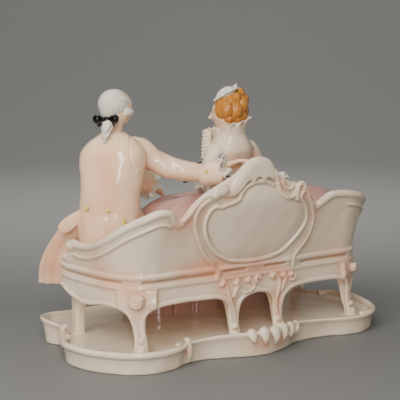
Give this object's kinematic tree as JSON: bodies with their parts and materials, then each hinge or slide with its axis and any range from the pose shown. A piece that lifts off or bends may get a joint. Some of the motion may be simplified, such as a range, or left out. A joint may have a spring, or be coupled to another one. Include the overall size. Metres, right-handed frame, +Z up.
{
  "type": "courting couple figurine",
  "caption": "Porcelain group of a gentleman and a lady seated on a rococo sofa over a shaped tray base, free-standing.",
  "frame": {"origin": "middle of the underside's bounding box, on the surface the group stands on", "axes": "+X along the sofa towards the gentleman's end, +Y out of the sofa's back, +Z up; the sofa's front looks along -Y"},
  "size_m": [0.2078, 0.1246, 0.1494],
  "materials": {
    "ivory_glaze": "gloss",
    "coat_glaze": "gloss",
    "dress_pink": "gloss",
    "wig_white": "gloss",
    "hair_amber": "gloss",
    "black_enamel": "gloss",
    "yellow_enamel": "gloss",
    "flesh_glaze": "gloss"
  },
  "bodies": {
    "root": {"porcelain_group": "ivory_glaze"}
  },
  "joints": []
}
